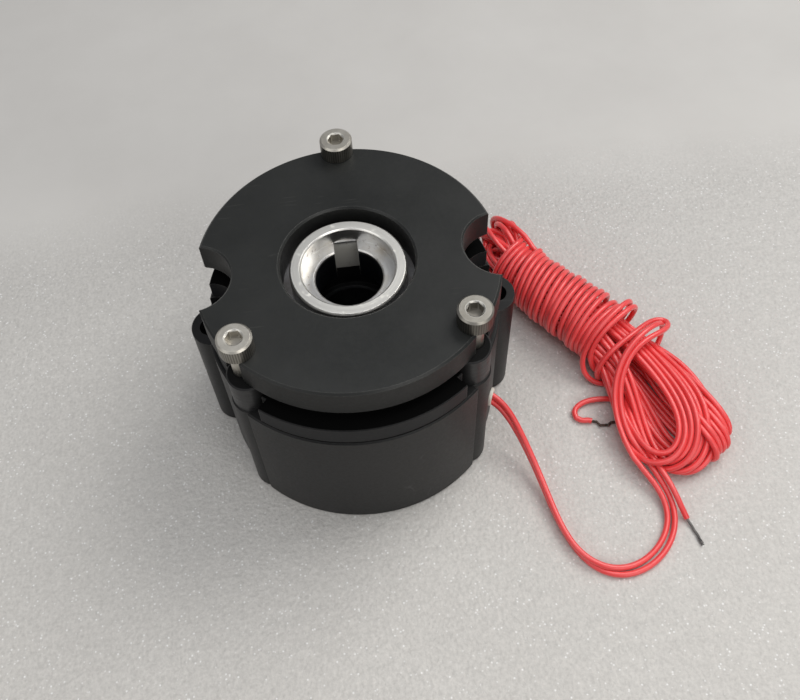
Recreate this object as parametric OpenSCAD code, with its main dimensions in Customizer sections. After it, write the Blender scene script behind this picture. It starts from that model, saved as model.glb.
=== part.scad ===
// Spring-applied electromagnetic brake: magnet body, armature, friction disc, hub and end plate on one axis.
// The mounting face of the magnet body is z = 0 and the shaft axis is Z.

/* [Magnet body] */
// Height of the magnet body
body_h = 35; // [34:0.1:36.5]
// Radius of the round wall between the two front lobes
wall_r = 33.3; // [32.6:0.1:33.6]
// Radius of the wall at the back
back_r = 32.3; // [31.6:0.1:33]
// Radius of the recesses beside the ears
recess_r = 31.2; // [30.8:0.1:31.5]
// Radius of each screw lobe
lobe_r = 4.5; // [4.4:0.05:5]
// Distance of each ear's centre from the axis
ear_x = 30; // [29:0.5:31]
// Radius of each ear
ear_r = 5; // [4.5:0.1:5.5]
// Height of the ears' spot-faced tops
ear_top = 32.9; // [31.9:0.1:33.4]
// Distance of the mounting holes from the axis
ear_hole_x = 31; // [30.5:0.1:31.2]
// Radius of the mounting holes
ear_hole_r = 2.25; // [2.1:0.05:2.4]
// Radius of the shaft passage
passage_r = 8.5; // [7.6:0.1:8.8]

/* [Screws and spacers] */
// Distance of the two front screws from the axis
screw_pcr = 29; // [28.8:0.1:29.2]
// Distance of the back screw from the axis
back_pcr = 30; // [29:0.1:30.2]
// Angle of the back screw
back_a = 89; // [88:0.5:91]
// Angle of the left screw
left_a = 218.5; // [214:0.5:222]
// Angle of the right screw
right_a = 321.5; // [318:0.5:326]
// Radius of each spacer post
spacer_r = 4.2; // [4.1:0.1:4.4]
// How far the posts and lobes stand inward of their screws
post_in = 0.8; // [0.6:0.1:0.9]
// How far the front posts and lobes stand forward of their screws
post_fwd = 0.95; // [0.7:0.05:1]
// Radius of each screw's shank
shank_r = 1.98; // [1.9:0.01:1.98]
// Radius of each screw's head
head_r = 3.5; // [3.3:0.05:3.6]
// Height of each screw's head
head_h = 4; // [3.6:0.1:4.2]

/* [End plate] */
// Underside of the end plate
plate_z = 43.4; // [43.3:0.1:43.6]
// Thickness of the end plate
plate_t = 7; // [5:0.5:8]
// Radius of the end plate
plate_r = 31; // [30.5:0.1:32]
// Radius of the centre hole
plate_hole_r = 13.75; // [13:0.05:14.2]
// Distance of each notch's centre from the axis
notch_x = 31.5; // [31:0.1:33]
// Radius of each notch
notch_r = 8; // [7.5:0.1:8.4]
// Width of the screw slots
slot_w = 5.3; // [4.4:0.1:5.6]

/* [Armature and friction disc] */
// Air gap between the armature and the magnet body with the brake on
air_gap = 0.32; // [0.3:0.01:0.35]
// Thickness of the armature
arm_t = 4.68; // [4.4:0.01:4.7]
// Radius of the armature at the front
arm_r = 33; // [32.4:0.1:33.2]
// Radius of the armature at the sides and the back
arm_side_r = 30.4; // [30:0.1:31]
// Radius of the friction disc
disc_r = 24; // [22:0.1:24.2]
// Thickness of each lining
lining_t = 1.1; // [0.9:0.05:1.2]

/* [Hub] */
// Radius of the hub's collar
hub_r = 12; // [11.8:0.05:12.4]
// Top of the hub
hub_top = 48.4; // [47.4:0.1:49.4]
// Radius of the hub's bore
bore_r = 7; // [5:0.5:7]
// Width of the keyway
key_w = 5; // [4:0.5:5]
// Distance from the axis to the bottom of the keyway
key_y = 9.3; // [8.8:0.1:9.4]

/* [Leads] */
// Diameter of one lead
lead_d = 1.3; // [1.2:0.1:1.4]
// Height of the wound part of the hank
wrap_h = 13.5; // [12:0.5:16]
// Height of the hank's loops
loop_h = 9.5; // [8:0.5:11]
// Height of the folds at the hank's short end
fold_h = 12; // [8:0.5:13]

/* [Hidden] */
$fn = 96;
e = 0.01;
plate_top = plate_z + plate_t;
arm_z = body_h + air_gap;
disc_gap = 0.02;
disc_z0 = arm_z + arm_t + disc_gap;
disc_z1 = plate_z - disc_gap;
hex_af = 20;
hex_clear = 0.05;
hub_z0 = 36;
collar_z = 43.8;
recess_z = 44.8;
groove_r0 = 18.5;
groove_r1 = 25.6;
groove_z = 10.4;
spring_pcr = 15;
spring_hole_r = 2.5;
spring_z = 25.4;
lead_a_deg = -25;
lead_z = 11.4;
wrap_deg = -51.6;
loop_deg = -70.2;

// Route of the pair of leads over the free stretch: x, y, z of the middle, half the distance between the two
// leads, and the angle of the line from one to the other, 90 for one above the other.
pair_route = [
    [24.9, -11.6, 11.4, 0.69, 45],
    [29.0, -13.5, 11.4, 0.7, 50],
    [31.0, -15.3, 10.13, 0.72, 62],
    [32.7, -18.3, 7.7, 0.7, 74],
    [34.4, -21.9, 5.72, 0.69, 82],
    [35.8, -25.7, 4.11, 0.69, 86],
    [37.0, -30.2, 2.83, 0.69, 88],
    [38.1, -35.3, 1.94, 0.69, 90],
    [39.3, -40.7, 1.47, 0.69, 96],
    [40.7, -45.1, 1.38, 0.69, 104],
    [42.7, -49.0, 1.38, 0.69, 98],
    [45.5, -51.7, 1.34, 0.71, 65],
    [49.0, -53.0, 1.0, 0.77, 20],
    [51.8, -52.8, 0.7, 0.76, 0],
    [54.5, -52.1, 0.68, 0.76, 0],
    [57.3, -50.7, 0.68, 0.84, 0],
    [59.9, -48.5, 0.68, 0.86, 0],
    [61.9, -46.1, 0.68, 0.82, 0],
    [63.6, -42.5, 0.75, 0.76, 0],
    [64.1, -39.5, 1.2, 0.73, 0],
    [63.2, -36.2, 2.0, 0.73, 0],
    [61.1, -32.2, 2.9, 0.73, 0],
    [59.1, -27.1, 3.9, 0.73, 0],
    [57.7, -21.7, 4.8, 0.73, 0],
    [57.2, -17.2, 5.6, 0.73, 0],
    [58.2, -12.5, 6.6, 0.73, 0],
    [60.3, -9.1, 7.4, 0.73, 0]
];
// Route of each lead's free end, from the hank to where the insulation stops, then of the bare conductor.
tail_a = [[59.3, -11.3, 2.0], [55.6, -11.3, 1.5], [52.4, -11.5, 1.0], [49.5, -11.9, 0.8], [47.7, -13.4, 0.7], [47.7, -15.4, 0.7], [49.4, -16.6, 0.7], [51.7, -16.9, 0.7]];
bare_a = [[51.7, -16.9, 0.7], [53.0, -17.4, 0.5], [54.3, -18.4, 0.4], [55.8, -18.3, 0.45], [57.4, -18.0, 0.7]];
tail_b = [[60.6, -18.1, 4.0], [60.0, -22.5, 3.7], [61.2, -26.3, 3.5], [63.0, -30.1, 3.4], [64.6, -34.0, 3.3], [65.4, -37.4, 3.0], [65.8, -40.5, 2.3], [66.7, -43.0, 0.8]];
bare_b = [[66.7, -43.0, 0.8], [67.3, -44.7, 0.5], [68.0, -47.0, 0.4], [68.4, -49.1, 0.45]];

// ---- shapes used more than once ----

// Round disc with its lower and upper rims bevelled by c0 and c1.
module disc(r, h, c0, c1) {
    rotate_extrude() polygon([[0, 0], [r - c0, 0], [r, c0], [r, h - c1], [r - c1, h], [0, h]]);
}

// Ring with plain edges.
module ring(r0, r1, h) {
    rotate_extrude() polygon([[r0, 0], [r1, 0], [r1, h], [r0, h]]);
}

// Wedge between two angles, to cut a sector out of a disc.
module wedge(a0, a1, h) {
    n = 6;
    linear_extrude(h) polygon(concat([[0, 0]], [for (i = [0:n]) let (a = a0 + (a1 - a0) * i / n) [60 * cos(a), 60 * sin(a)]]));
}

// Where each screw stands, from its angle.
function screw_r(a) = a == back_a ? back_pcr : screw_pcr;
function screw_xy(a) = [screw_r(a) * cos(a), screw_r(a) * sin(a), 0];
// Where its post and lobe stand.
function post_xy(a) = screw_xy(a) + (a == back_a ? [0, -post_in, 0] : [cos(a) < 0 ? post_in : -post_in, -post_fwd, 0]);

// Smooth curve through a row of points, k steps between two of them.
function crom(a, b, c, d, t) = 0.5 * ((2 * b) + (c - a) * t + (2 * a - 5 * b + 4 * c - d) * t * t + (3 * b - a - 3 * c + d) * t * t * t);
function smooth(p, k) = let (n = len(p)) concat(
    [for (i = [0:n - 2]) for (j = [0:k - 1]) crom(p[max(i - 1, 0)], p[i], p[i + 1], p[min(i + 2, n - 1)], j / k)], [p[n - 1]]);
function unit(v) = v / norm(v);
function tangent(p, i) = unit(p[min(i + 1, len(p) - 1)] - p[max(i - 1, 0)]);

// One lead of the pair, s = 1 or -1.
function lead_path(s) = let (r = smooth(pair_route, 1), c = [for (q = r) [q[0], q[1], q[2]]]) [for (i = [0:len(r) - 1])
    let (t = tangent(c, i), side = unit(cross([0, 0, 1], t)), g = s * r[i][3], w = r[i][4]) c[i] + g * (cos(w) * side + sin(w) * [0, 0, 1])];

// Tube along a row of points.
module tube(p, r, sides) {
    n = len(p);
    pts = [for (i = [0:n - 1]) let (t = tangent(p, i), u = unit(cross([0, 0, 1], t)), v = cross(t, u))
        for (j = [0:sides - 1]) p[i] + r * (cos(360 * j / sides) * u + sin(360 * j / sides) * v)];
    faces = concat(
        [[for (j = [0:sides - 1]) sides - 1 - j]],
        [for (i = [0:n - 2]) for (j = [0:sides - 1]) [i * sides + j, i * sides + (j + 1) % sides, (i + 1) * sides + (j + 1) % sides, (i + 1) * sides + j]],
        [[for (j = [0:sides - 1]) (n - 1) * sides + j]]);
    polyhedron(points = pts, faces = [for (f = faces) [for (q = [len(f) - 1:-1:0]) f[q]]], convexity = 6);
}

// ---- magnet ----

module magnet_body() {
    color([0.10, 0.10, 0.11]) difference() {
        union() {
            disc(recess_r, body_h, 0.5, 0.3);
            intersection() { disc(wall_r, body_h, 0.5, 0.3); wedge(225.5, 313.5, body_h); }
            intersection() { disc(back_r, body_h, 0.5, 0.3); wedge(20, 160, body_h); }
            for (a = [back_a, left_a, right_a]) translate(post_xy(a)) disc(lobe_r, body_h, 0.5, 0.3);
            for (s = [-1, 1]) translate([s * ear_x, 0, 0]) disc(ear_r, ear_top + 1, 0.5, 0);
        }
        // spot faces over the ears
        for (s = [-1, 1]) translate([s * ear_x, 0, ear_top]) cylinder(r = 6, h = 5);
        // mounting holes
        for (s = [-1, 1]) translate([s * ear_hole_x, 0, -1]) cylinder(r = ear_hole_r, h = body_h + 2);
        // shaft passage, wider at the top
        translate([0, 0, -1]) cylinder(r = passage_r, h = body_h + 2);
        translate([0, 0, 29.4]) cylinder(r = 10, h = 10);
        translate([0, 0, 29]) cylinder(r1 = passage_r, r2 = passage_r + 0.4, h = 0.41);
        // groove for the coil
        translate([0, 0, groove_z]) ring(groove_r0, groove_r1, body_h);
        // spring holes
        for (i = [0:5]) rotate([0, 0, 60 * i]) translate([spring_pcr, 0, spring_z]) cylinder(r = spring_hole_r, h = body_h);
        // screw holes
        for (a = [back_a, left_a, right_a]) translate(screw_xy(a)) translate([0, 0, spring_z - 1]) cylinder(r = 2, h = body_h);
        // lead hole
        rotate([0, 0, lead_a_deg]) translate([24.8, 0, lead_z]) rotate([0, 90, 0]) cylinder(r = 1.7, h = 12);
    }
}

module coil_bobbin() {
    color([0.16, 0.16, 0.17]) translate([0, 0, groove_z]) rotate_extrude() polygon([
        [groove_r0 + 0.05, 0.05], [groove_r1 - 0.2, 0.05], [groove_r1 - 0.2, 2.2], [19.7, 2.2],
        [19.7, 20.8], [groove_r1 - 0.2, 20.8], [groove_r1 - 0.2, 21.9], [groove_r0 + 0.05, 21.9]]);
}

module coil_winding() {
    color([0.72, 0.38, 0.20]) translate([0, 0, groove_z + 2.25]) ring(19.75, 24.8, 18.5);
}

module coil_tape() {
    color([0.85, 0.75, 0.35]) translate([0, 0, groove_z + 2.3]) ring(24.85, 25.15, 18.4);
}

module coil_potting() {
    color([0.12, 0.12, 0.13]) translate([0, 0, groove_z + 21.95]) ring(groove_r0 + 0.05, groove_r1 - 0.05, body_h - groove_z - 21.95 - 0.15);
}

// Compression spring, closed at both ends.
module brake_spring(i) {
    wr = 0.3;
    z0 = spring_z + 0.02 + wr;
    z1 = arm_z - 0.02 - wr;
    turns = 7;
    n = turns * 10;
    p = [for (k = [0:n]) let (f = k / n, g = max(0, min(1, (f - 0.1) / 0.8)), a = 360 * turns * f)
        [1.88 * cos(a), 1.88 * sin(a), z0 + (z1 - z0) * g + (f < 0.1 ? 0.55 * (f - 0.1) / 0.1 * 0 : 0)]];
    color([0.62, 0.62, 0.64]) rotate([0, 0, 60 * i - 60]) translate([spring_pcr, 0, 0]) coil_wire(p, wr, turns, n);
}

// Round wire along a helix, with rings that stand square to it.
module coil_wire(p, r, turns, n) {
    sides = 6;
    pts = [for (i = [0:n]) let (a = 360 * turns * i / n, t = tangent(p, i), u = [cos(a), sin(a), 0], v = cross(t, u))
        for (j = [0:sides - 1]) p[i] + r * (cos(60 * j) * u + sin(60 * j) * v)];
    faces = concat(
        [[for (j = [0:sides - 1]) sides - 1 - j]],
        [for (i = [0:n - 1]) for (j = [0:sides - 1]) [i * sides + j, i * sides + (j + 1) % sides, (i + 1) * sides + (j + 1) % sides, (i + 1) * sides + j]],
        [[for (j = [0:sides - 1]) n * sides + j]]);
    polyhedron(points = pts, faces = faces, convexity = 10);
}

// ---- armature and friction disc ----

module armature_plate() {
    color([0.22, 0.22, 0.23]) translate([0, 0, arm_z]) difference() {
        union() {
            disc(arm_side_r, arm_t, 0.2, 0.2);
            intersection() { disc(arm_r, arm_t, 0.2, 0.2); wedge(231.5, 308, arm_t); }
        }
        translate([0, 0, -1]) cylinder(r = 12.5, h = arm_t + 2);
        for (a = [back_a, left_a, right_a]) translate(post_xy(a)) translate([0, 0, -1]) cylinder(r = spacer_r + 0.4, h = arm_t + 2);
        for (s = [-1, 1]) translate([s * ear_x, 0, -1]) cylinder(r = 6, h = arm_t + 2);
    }
}

module friction_carrier() {
    t = disc_z1 - disc_z0;
    c = t - 2 * lining_t;
    color([0.35, 0.35, 0.36]) difference() {
        union() {
            translate([0, 0, disc_z0 + lining_t]) disc(disc_r - 0.4, c, 0.1, 0.1);
            translate([0, 0, disc_z0 + 0.3]) disc(14.8, t - 0.6, 0.2, 0.2);
        }
        translate([0, 0, disc_z0 - 1]) cylinder(r = (hex_af / 2 + hex_clear) / cos(30), h = t + 2, $fn = 6);
    }
}

module lining_upper() {
    color([0.14, 0.13, 0.12]) translate([0, 0, disc_z1 - lining_t]) ring(15.5, disc_r, lining_t);
}

module lining_lower() {
    color([0.14, 0.13, 0.12]) translate([0, 0, disc_z0]) ring(15.5, disc_r, lining_t);
}

module hub() {
    color([0.80, 0.79, 0.76]) difference() {
        union() {
            translate([0, 0, collar_z]) disc(hub_r, hub_top - collar_z, 0.3, 0.35);
            translate([0, 0, hub_z0]) cylinder(r = hex_af / 2 / cos(30), h = collar_z - hub_z0 + 0.5, $fn = 6);
        }
        // recess in the top face
        translate([0, 0, recess_z]) cylinder(r = 9.65, h = 10);
        translate([0, 0, hub_top - 0.3]) cylinder(r1 = 9.65, r2 = 9.95, h = 0.31);
        // bore, with a small lead-in at each end
        translate([0, 0, hub_z0 - 1]) cylinder(r = bore_r, h = 20);
        translate([0, 0, recess_z - 0.3]) cylinder(r1 = bore_r, r2 = bore_r + 0.3, h = 0.31);
        translate([0, 0, hub_z0 - 0.01]) cylinder(r1 = bore_r + 0.3, r2 = bore_r, h = 0.31);
        // keyway
        translate([-key_w / 2, 0, hub_z0 - 1]) cube([key_w, key_y, 20]);
    }
}

// ---- spacers, end plate and screws ----

module spacer(a) {
    color([0.12, 0.12, 0.13]) translate([0, 0, body_h]) difference() {
        translate(post_xy(a)) disc(spacer_r, plate_z - body_h, 0.1, 0.3);
        translate(screw_xy(a)) translate([0, 0, -1]) cylinder(r = 2.15, h = 12);
    }
}

module end_plate() {
    color([0.13, 0.13, 0.14]) difference() {
        translate([0, 0, plate_z]) disc(plate_r, plate_t, 0.3, 0.45);
        // centre hole
        translate([0, 0, plate_z - 1]) cylinder(r = plate_hole_r, h = plate_t + 2);
        translate([0, 0, plate_top - 0.4]) cylinder(r1 = plate_hole_r, r2 = plate_hole_r + 0.4, h = 0.41);
        // notches over the mounting ears
        for (s = [-1, 1]) translate([s * notch_x, 0, 0]) {
            translate([0, 0, plate_z - 1]) cylinder(r = notch_r, h = plate_t + 2);
            translate([0, 0, plate_top - 0.35]) cylinder(r1 = notch_r, r2 = notch_r + 0.35, h = 0.36);
        }
        // open slots for the screws
        for (a = [back_a, left_a, right_a]) rotate([0, 0, a]) {
            translate([screw_r(a), 0, plate_z - 1]) cylinder(r = slot_w / 2, h = plate_t + 2);
            translate([screw_r(a), -slot_w / 2, plate_z - 1]) cube([8, slot_w, plate_t + 2]);
        }
    }
}

module cap_screw(a) {
    color([0.75, 0.74, 0.70]) translate(screw_xy(a)) difference() {
        union() {
            translate([0, 0, plate_top]) disc(head_r, head_h, 0.15, 0.4);
            translate([0, 0, spring_z]) cylinder(r = shank_r, h = plate_top - spring_z + 0.5);
        }
        translate([0, 0, plate_top + head_h - 2.1]) cylinder(r = 1.5 / cos(30), h = 3, $fn = 6);
        translate([0, 0, plate_top + head_h - 0.25]) cylinder(r1 = 1.6, r2 = 1.9, h = 0.26);
    }
}

// ---- leads ----

module lead_bushing() {
    color([0.88, 0.86, 0.80]) rotate([0, 0, lead_a_deg]) translate([0, 0, lead_z]) rotate([0, 90, 0]) difference() {
        union() {
            translate([0, 0, 25.9]) cylinder(r = 1.68, h = 6);
            translate([0, 0, recess_r + 0.02]) disc(2.1, 0.75, 0.1, 0.25);
        }
        translate([0, 0, 20]) cylinder(r = 1.48, h = 20);
    }
}

module lead_a() { color([0.90, 0.32, 0.30]) tube(lead_path(1), lead_d / 2, 8); }
module lead_b() { color([0.90, 0.32, 0.30]) tube(lead_path(-1), lead_d / 2, 8); }

// Outline of the hank, its length along x and its width along y.
module hank_block(x0, x1, y0, y1, h, r) {
    linear_extrude(h) union() {
        translate([x0 + r, y0]) square([x1 - x0 - 2 * r, y1 - y0]);
        translate([x0, y0 + r]) square([x1 - x0, y1 - y0 - 2 * r]);
        for (x = [x0 + r, x1 - r]) for (y = [y0 + r, y1 - r]) translate([x, y]) circle(r = r);
    }
}

module lead_hank() {
    color([0.90, 0.32, 0.30]) translate([0.6, 1.4, 0]) union() {
        rotate([0, 0, wrap_deg]) hank_block(9, 36, 38.2, 55.2, wrap_h, 3);
        rotate([0, 0, wrap_deg]) hank_block(-8.5, 14, 43.5, 56, fold_h, 5.9);
        rotate([0, 0, loop_deg]) hank_block(14, 60, 49, 66.3, loop_h, 8.6);
    }
}

module lead_a_tail() { color([0.90, 0.32, 0.30]) tube(tail_a, lead_d / 2, 8); }
module lead_b_tail() { color([0.90, 0.32, 0.30]) tube(tail_b, lead_d / 2, 8); }
module conductor_a() { color([0.30, 0.28, 0.27]) tube(bare_a, 0.35, 6); }
module conductor_b() { color([0.45, 0.44, 0.43]) tube(bare_b, 0.35, 6); }

magnet_body();
coil_bobbin();
coil_winding();
coil_tape();
coil_potting();
brake_spring(1);  // brake_spring_1
brake_spring(2);  // brake_spring_2
brake_spring(3);  // brake_spring_3
brake_spring(4);  // brake_spring_4
brake_spring(5);  // brake_spring_5
brake_spring(6);  // brake_spring_6
armature_plate();
friction_carrier();
lining_upper();
lining_lower();
hub();
spacer(back_a);  // spacer_back
spacer(left_a);  // spacer_left
spacer(right_a);  // spacer_right
end_plate();
cap_screw(back_a);  // cap_screw_back
cap_screw(left_a);  // cap_screw_left
cap_screw(right_a);  // cap_screw_right
lead_bushing();
lead_a();
lead_b();
lead_hank();
lead_a_tail();
lead_b_tail();
conductor_a();
conductor_b();
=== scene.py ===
# Spring-applied electromagnetic brake with its two red leads: looks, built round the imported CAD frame.
# Lengths in the lead section are in millimetres and become metres where the curves are made.
import math
import bpy
import numpy as np
from mathutils import Matrix, Vector, kdtree


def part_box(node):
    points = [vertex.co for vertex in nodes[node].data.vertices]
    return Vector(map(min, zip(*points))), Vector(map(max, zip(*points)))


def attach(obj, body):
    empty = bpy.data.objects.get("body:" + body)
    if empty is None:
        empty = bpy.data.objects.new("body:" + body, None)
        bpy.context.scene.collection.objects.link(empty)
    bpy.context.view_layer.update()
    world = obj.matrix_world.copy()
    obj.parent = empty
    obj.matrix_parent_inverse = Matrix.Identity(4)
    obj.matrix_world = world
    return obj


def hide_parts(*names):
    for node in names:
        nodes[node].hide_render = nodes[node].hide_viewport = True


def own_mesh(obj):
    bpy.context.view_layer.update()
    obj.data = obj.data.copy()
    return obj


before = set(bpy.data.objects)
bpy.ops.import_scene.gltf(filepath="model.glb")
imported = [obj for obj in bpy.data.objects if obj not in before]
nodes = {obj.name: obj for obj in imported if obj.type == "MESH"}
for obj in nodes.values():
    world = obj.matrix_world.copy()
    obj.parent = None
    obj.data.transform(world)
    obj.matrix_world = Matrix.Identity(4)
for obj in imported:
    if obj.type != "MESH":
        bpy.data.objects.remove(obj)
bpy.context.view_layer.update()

MM = 0.001

# ---------------------------------------------------------------- camera
R_RIGHT = Vector((0.993047, -0.099942, -0.062211))
R_DOWN = Vector((-0.117512, -0.810020, -0.574508))
R_FWD = Vector((0.007025, 0.577823, -0.816132))
cam_data = bpy.data.cameras.new("camera")
cam = bpy.data.objects.new("camera", cam_data)
bpy.context.scene.collection.objects.link(cam)
turn = Matrix((R_RIGHT, -R_DOWN, -R_FWD)).transposed().to_4x4()
cam.matrix_world = Matrix.Translation((0.000346, -0.117030, 0.201204)) @ turn
cam_data.sensor_width = 36.0
cam_data.lens = 42.82
cam_data.shift_x = 0.0495
cam_data.shift_y = -0.0620
cam_data.clip_start = 0.005
cam_data.clip_end = 10.0
bpy.context.scene.camera = cam


# ---------------------------------------------------------------- leads
D_LEAD = 1.3      # lead diameter, mm
STEP = 0.9        # spacing of the particles along a lead, mm

WRAP_DEG, LOOP_DEG = -51.6, -70.2


def placed(x, y, z):
    """Where a point of the hank's plan lies on the table."""
    return (1.0124 * x, 1.0124 * y + 1.45, z)


def turned(deg, s, p, z):
    """A point given along (s) and across (p) a direction on the table."""
    a = math.radians(deg)
    return placed(s * math.cos(a) - p * math.sin(a), s * math.sin(a) + p * math.cos(a), z)


def W(s, p, z):
    return turned(WRAP_DEG, s, p, z)


def L(s, p, z):
    return turned(LOOP_DEG, s, p, z)


# Free stretch: x, y, z of the middle of the pair, half the distance between the two leads, and the angle of the
# line between them, 90 for one above the other. The same route as in the CAD source.
PAIR_ROUTE = [
    (24.9, -11.6, 11.4, 0.69, 45), (29.0, -13.5, 11.4, 0.7, 50), (31.0, -15.3, 10.13, 0.72, 62),
    (32.7, -18.3, 7.7, 0.7, 74), (34.4, -21.9, 5.72, 0.69, 82), (35.8, -25.7, 4.11, 0.69, 86),
    (37.0, -30.2, 2.83, 0.69, 88), (38.1, -35.3, 1.94, 0.69, 90), (39.3, -40.7, 1.47, 0.69, 96),
    (40.7, -45.1, 1.38, 0.69, 104), (42.7, -49.0, 1.38, 0.69, 98), (45.5, -51.7, 1.34, 0.71, 65),
    (49.0, -53.0, 1.0, 0.77, 20), (51.8, -52.8, 0.7, 0.76, 0), (54.5, -52.1, 0.68, 0.76, 0),
    (57.3, -50.7, 0.68, 0.84, 0), (59.9, -48.5, 0.68, 0.86, 0), (61.9, -46.1, 0.68, 0.82, 0),
    (63.6, -42.5, 0.75, 0.76, 0), (64.1, -39.5, 1.2, 0.73, 0), (63.2, -36.2, 2.0, 0.73, 0),
    (61.1, -32.2, 2.9, 0.73, 0), (59.1, -27.1, 3.9, 0.73, 0), (57.7, -21.7, 4.8, 0.73, 0),
]
# Over the hank to its sharp side fold, then back: lead a down the outside and under, lead b back over the top.
A_OVER = [(56.1, -18.6, 5.6), (56.7, -15.1, 6.6), (57.4, -12.6, 7.8), (58.5, -10.4, 9.2), (60.0, -8.2, 10.6), (62.0, -5.9, 11.6),
          (64.4, -3.9, 12.0), (67.6, -2.0, 11.6), (70.2, -0.4, 10.4), (72.0, 1.2, 8.8), (72.8, 2.1, 7.0), (72.4, 1.4, 5.2),
          (71.6, -0.3, 3.8), (70.4, -2.4, 2.2), (67.6, -4.6, 1.0), (64.2, -5.6, 0.8), (61.4, -4.2, 0.8), (59.2, -1.2, 1.2)]
B_OVER = [(57.6, -18.4, 5.6), (58.1, -15.0, 6.6), (58.7, -12.4, 7.8), (59.7, -10.3, 9.2), (61.2, -8.2, 10.3), (63.1, -6.2, 11.1),
          (65.4, -4.5, 11.4), (67.6, -3.4, 11.2), (69.8, -2.8, 10.7), (72.2, -1.9, 9.7), (73.7, 0.3, 8.2), (72.9, 2.8, 7.2), (70.6, 3.1, 7.8),
          (68.6, 1.5, 9.0), (66.8, -0.3, 9.8), (64.9, -1.9, 10.3), (62.8, -3.2, 10.5), (60.1, -4.4, 10.4), (58.0, -5.2, 9.6), (56.4, -6.0, 8.2),
          (55.3, -6.8, 6.2), (54.9, -7.4, 4.0), (55.6, -7.8, 2.0), (57.6, -7.6, 0.9), (59.6, -5.6, 0.8), (59.4, -2.6, 0.9), (57.6, -0.2, 1.0)]

# Places of the runs in the core, across and up from its middle; R runs go out to the loops, L runs come back.
CORE_R = [(1.3, 4.2), (3.6, 2.9), (4.9, 1.4), (5.0, -0.2), (1.2, 2.8), (2.2, 1.3), (4.6, -1.8), (1.8, -0.3), (1.9, -1.8)]
CORE_L = [(-1.4, -4.2), (-4.6, -0.2), (-4.4, -1.7), (-1.6, 4.2), (-3.8, -3.0), (-1.0, -2.9), (1.6, -3.2), (1.6, -4.4), (-4.4, 1.4), (-3.6, 2.9)]
# Each loop: where its outward run is half way along (across, height), the points round its end (along, across,
# height), and where its run back is half way along.
LOOPS = [
    ((58.6, 8.2), [(46.5, 58.2, 8.1), (50.5, 56.2, 7.6), (53.4, 53.2, 6.6), (54.4, 50.2, 5.2), (52.6, 47.6, 4.0), (49.0, 46.8, 3.4)], (47.4, 3.2)),
    ((61.3, 8.5), [(47.5, 60.6, 8.3), (52.0, 58.2, 7.6), (55.4, 54.6, 6.2), (56.4, 51.2, 4.5), (54.6, 48.4, 2.9), (50.5, 47.7, 2.0)], (48.4, 1.6)),
    ((63.9, 8.1), [(47.5, 63.2, 7.8), (52.6, 60.8, 7.0), (56.6, 57.0, 5.6), (58.0, 53.4, 3.9), (56.4, 50.4, 2.4), (52.3, 49.4, 1.6), (47.0, 50.6, 1.8)], (51.6, 2.4)),
    ((65.8, 6.6), [(49.5, 65.0, 6.4), (55.0, 62.2, 5.6), (58.6, 58.0, 4.2), (59.0, 54.4, 2.6), (56.0, 51.8, 1.2), (50.5, 51.4, 0.8)], (51.2, 0.9)),
    ((59.8, 7.3), [(49.5, 60.6, 7.3), (55.5, 61.2, 6.9), (58.9, 61.4, 5.0), (59.3, 61.1, 3.0), (57.2, 60.6, 1.2), (52.0, 59.2, 0.7)], (56.8, 0.7)),
    ((62.6, 7.4), [(50.0, 63.2, 7.4), (55.4, 64.0, 6.9), (58.6, 64.2, 5.0), (59.0, 63.9, 3.0), (56.9, 63.4, 1.2), (52.0, 62.0, 0.7)], (59.4, 0.7)),
    ((65.2, 6.9), [(49.0, 65.8, 6.9), (53.0, 66.4, 6.4), (55.9, 66.4, 4.8), (56.3, 66.1, 2.9), (54.3, 65.4, 1.2), (49.5, 64.0, 0.7)], (61.8, 0.7)),
    ((60.9, 5.0), [(49.0, 60.8, 5.0), (53.6, 59.4, 4.2), (56.2, 56.8, 3.0), (56.0, 53.8, 1.6), (53.2, 52.0, 0.9), (49.0, 52.0, 0.9)], (52.2, 2.6)),
    ((63.6, 3.2), [(48.0, 63.4, 3.2), (52.6, 62.0, 2.4), (54.8, 59.0, 1.4), (53.6, 55.6, 0.9), (49.5, 54.6, 0.8)], (54.6, 2.2)),
]
# The folds at the short end: along, across, height, half the fold's height, and where its upper and lower runs start.
TIPS = [(-9.6, 48.6, 6.5, 3.8, 52.6, 47.0), (-10.0, 54.6, 7.0, 3.8, 54.0, 51.0), (-9.2, 49.0, 5.6, 3.6, 50.4, 46.2),
        (-8.8, 55.2, 5.6, 3.6, 53.2, 50.0), (-8.4, 49.9, 7.4, 3.6, 49.6, 47.4), (-7.2, 54.2, 8.0, 3.6, 52.0, 49.8),
        (-4.6, 45.4, 4.6, 3.4, 46.8, 44.8), (-7.8, 52.2, 5.0, 3.6, 51.2, 48.8), (-3.4, 46.4, 5.6, 3.4, 48.4, 45.4)]

N_TURNS = 10
WRAP_S0, WRAP_S1 = 4.6, 35.6
# Lean of each turn: how much further along the hank it is on the left than on the right.
LEAN_AT = [(4, -0.9), (8, 0.5), (10.5, 0.8), (12, 2.5), (16, 2.3), (20, 2.6), (23, 2.2), (24.5, 0.4), (28, 1.2), (30.5, 0.9), (32, -1.4), (35, -0.4), (36, -0.2)]


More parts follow.
